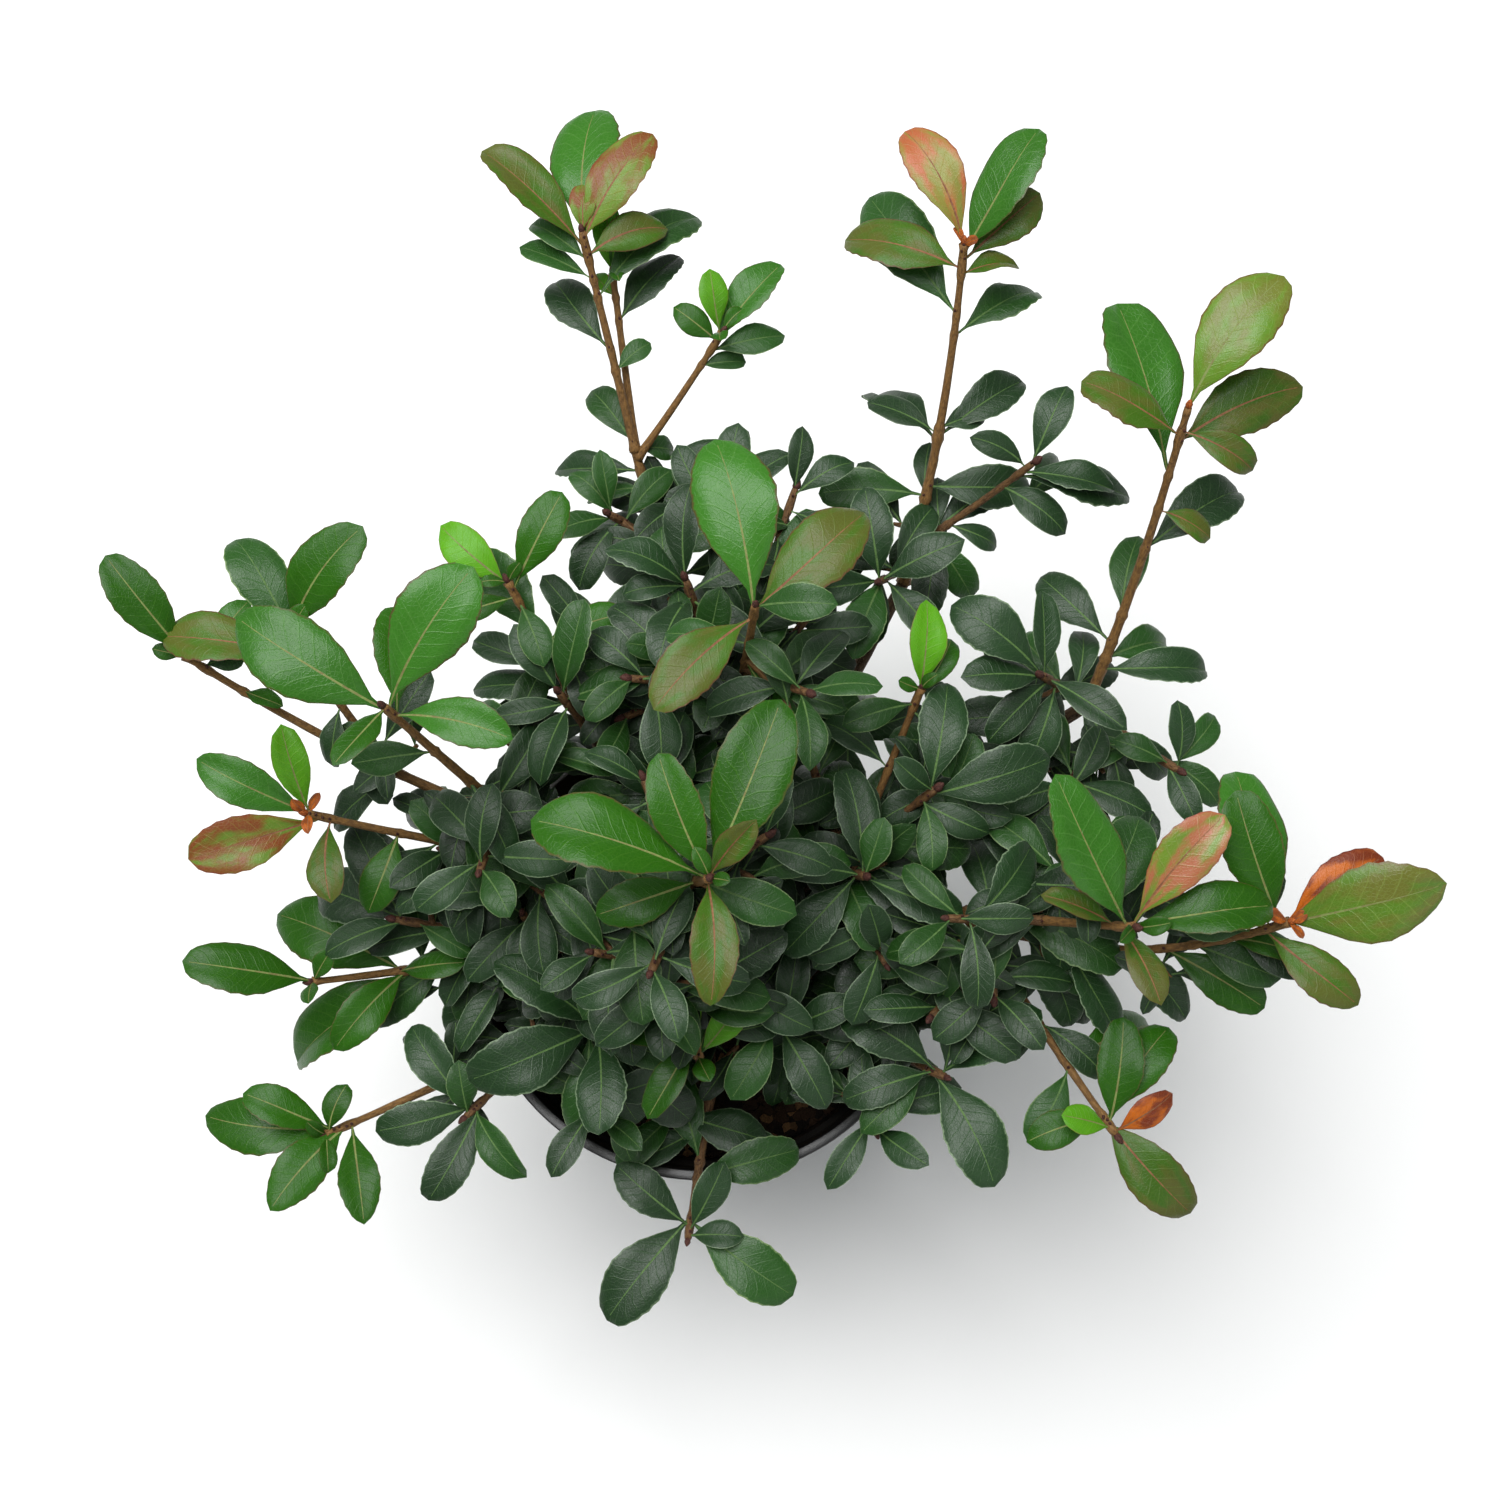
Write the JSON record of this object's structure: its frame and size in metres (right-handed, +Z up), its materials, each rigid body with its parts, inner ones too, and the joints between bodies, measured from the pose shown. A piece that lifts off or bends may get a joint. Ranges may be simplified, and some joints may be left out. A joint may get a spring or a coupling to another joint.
{
  "type": "potted evergreen shrub",
  "caption": "Young Indian hawthorn in a round nursery pot, a low open shrub with leathery leaves in whorls at the tips of its shoots.",
  "frame": {"origin": "middle of the pot's flat underside", "axes": "+Z up, +Y towards the side the long shoots reach, +X to the right in the picture"},
  "size_m": [0.5465, 0.5428, 0.4442],
  "materials": {
    "pot_plastic": "satin black",
    "potting_mix": "moist crumbs",
    "bark": "matt bark",
    "foliage": "satin leaf"
  },
  "bodies": {
    "root": {"pot": "pot_plastic", "soil": "potting_mix", "trunk": "bark", "bough_back": "bark", "bough_left": "bark", "bough_right": "bark", "bough_back_left": "bark", "bough_back_right": "bark", "bough_front_left": "bark", "bough_left_low": "bark", "bough_front": "bark", "bough_front_right": "bark", "bough_left_outer": "bark", "bough_left_back": "bark", "bough_back_inner": "bark", "bough_right_inner": "bark", "bough_centre": "bark", "spray_back_left": "foliage", "spray_back": "foliage", "spray_back_right": "foliage", "spray_centre_right": "foliage", "spray_right_back": "foliage", "spray_crown": "foliage", "spray_back_inner": "foliage", "spray_left_back": "foliage", "spray_left_upper": "foliage", "spray_far_left": "foliage", "spray_left": "foliage", "spray_left_inner": "foliage", "spray_left_low": "foliage", "spray_front_left": "foliage", "spray_front_corner": "foliage", "spray_front_inner": "foliage", "spray_front": "foliage", "spray_front_right": "foliage", "spray_right": "foliage", "spray_far_right": "foliage", "spray_right_low": "foliage", "spray_right_inner": "foliage", "spray_middle": "foliage", "spray_centre": "foliage", "spray_centre_front": "foliage"}
  },
  "joints": []
}
